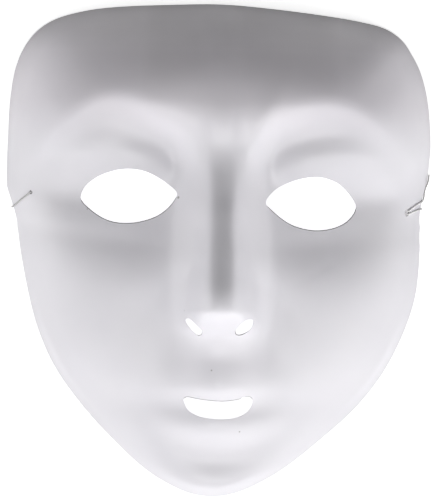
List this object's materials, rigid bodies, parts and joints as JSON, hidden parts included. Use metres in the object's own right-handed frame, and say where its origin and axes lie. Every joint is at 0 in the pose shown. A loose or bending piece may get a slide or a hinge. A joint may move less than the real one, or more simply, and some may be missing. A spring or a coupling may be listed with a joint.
{
  "type": "blank face mask",
  "caption": "Plain white full-face mask drawn from thin plastic sheet, open at the eyes, nostrils and mouth, with an elastic strap.",
  "frame": {"origin": "middle of the mask's box, on the plane of its rim", "axes": "+Z out of the face, +Y towards the forehead, +X to the right of somebody looking at the face"},
  "size_m": [0.1695, 0.1968, 0.0585],
  "materials": {
    "sheet": "satin white plastic sheet",
    "elastic": "greyish white braided elastic cord"
  },
  "bodies": {
    "root": {"mask_shell": "sheet", "elastic_strap": "elastic", "strap_loop_left": "elastic", "strap_loop_right_lower": "elastic", "strap_loop_right_upper": "elastic", "strap_knot_left": "elastic", "strap_knot_right": "elastic"}
  },
  "joints": []
}
